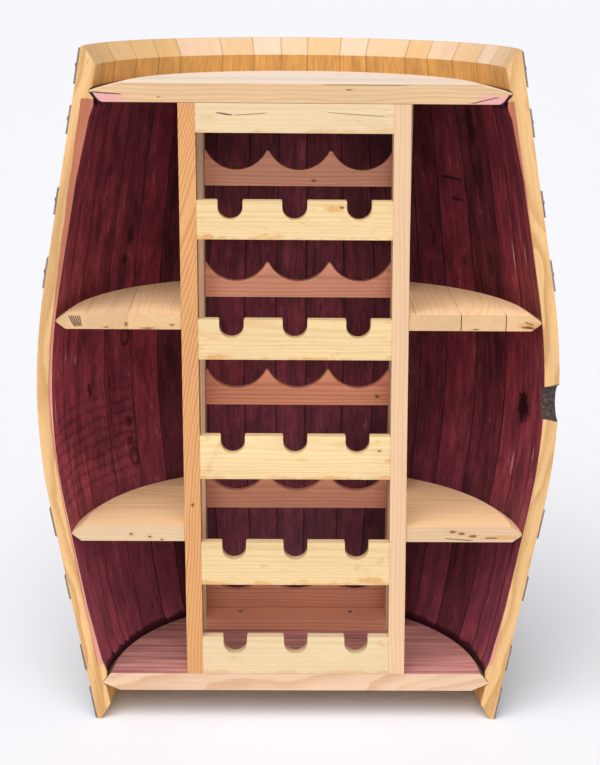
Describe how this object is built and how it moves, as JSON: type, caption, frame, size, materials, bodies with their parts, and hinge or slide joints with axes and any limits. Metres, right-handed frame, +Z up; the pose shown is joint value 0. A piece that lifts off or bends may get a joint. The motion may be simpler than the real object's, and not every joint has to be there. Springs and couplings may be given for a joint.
{
  "type": "wine rack",
  "caption": "Floor-standing half-barrel wine rack: coopered stave shell with a notched and scalloped bottle frame, quarter-round side shelves and a recessed top.",
  "frame": {"origin": "middle of the bounding box on the floor, under the barrel, half-way between the saw cut and the back of the bilge", "axes": "+Z up along the barrel's axis; the open front faces -Y; +X is to the right seen from the front"},
  "size_m": [0.7135, 0.3569, 0.95],
  "materials": {
    "stave_oak": "reclaimed oak barrel staves: wine-stained inside, sawn tan edges, weathered outside",
    "top_head_oak": "sanded oak barrel head, pale tan",
    "stained_head_oak": "wine-stained oak barrel head with a pale sawn edge",
    "shelf_oak_endgrain": "sanded reclaimed oak, end grain to the front",
    "shelf_oak": "sanded reclaimed oak with dark knots and checks",
    "rail_wood": "pale yellow oak board, lightly stained",
    "orange_post_wood": "orange softwood with slanting grain",
    "pale_post_wood": "pale pink-beige softwood",
    "rear_frame_wood": "pink-brown reclaimed wood",
    "dowel_wood": "plain wooden dowel",
    "hoop_steel": "galvanised hoop steel, greyed, with rust",
    "screw_steel": "galvanised round-head screw",
    "zinc_screw_steel": "zinc-plated countersunk wood screw"
  },
  "bodies": {
    "root": {"bottom_head_board_1": "stained_head_oak", "bottom_head_board_2": "stained_head_oak", "bottom_head_board_3": "stained_head_oak", "bottom_head_board_4": "stained_head_oak", "cleat_screws": "zinc_screw_steel", "front_post_left": "orange_post_wood", "front_post_right": "pale_post_wood", "front_rail_1": "rail_wood", "front_rail_2": "rail_wood", "front_rail_3": "rail_wood", "front_rail_4": "rail_wood", "front_rail_5": "rail_wood", "front_rail_top": "rail_wood", "head_dowels": "dowel_wood", "hoop_1": "hoop_steel", "hoop_2": "hoop_steel", "hoop_3": "hoop_steel", "hoop_4": "hoop_steel", "hoop_5": "hoop_steel", "hoop_6": "hoop_steel", "hoop_7": "hoop_steel", "hoop_8": "hoop_steel", "hoop_rivets": "hoop_steel", "hoop_screws": "screw_steel", "rail_screws": "zinc_screw_steel", "rear_cleat_bottom": "rear_frame_wood", "rear_cleat_top": "rear_frame_wood", "rear_post_left": "rear_frame_wood", "rear_post_right": "rear_frame_wood", "rear_rail_1": "rear_frame_wood", "rear_rail_2": "rear_frame_wood", "rear_rail_3": "rear_frame_wood", "rear_rail_4": "rear_frame_wood", "rear_rail_5": "rear_frame_wood", "shelf_lower_left": "shelf_oak", "shelf_lower_right": "shelf_oak", "shelf_screws": "zinc_screw_steel", "shelf_upper_left": "shelf_oak_endgrain", "shelf_upper_right": "shelf_oak_endgrain", "stave_01": "stave_oak", "stave_02": "stave_oak", "stave_03": "stave_oak", "stave_04": "stave_oak", "stave_05": "stave_oak", "stave_06": "stave_oak", "stave_07": "stave_oak", "stave_08": "stave_oak", "stave_09": "stave_oak", "stave_10": "stave_oak", "stave_11": "stave_oak", "stave_12": "stave_oak", "stave_13": "stave_oak", "stave_14": "stave_oak", "stave_15": "stave_oak", "stave_16": "stave_oak", "stave_17": "stave_oak", "stave_18": "stave_oak", "top_head_board_1": "top_head_oak", "top_head_board_2": "top_head_oak", "top_head_board_3": "top_head_oak"}
  },
  "joints": []
}
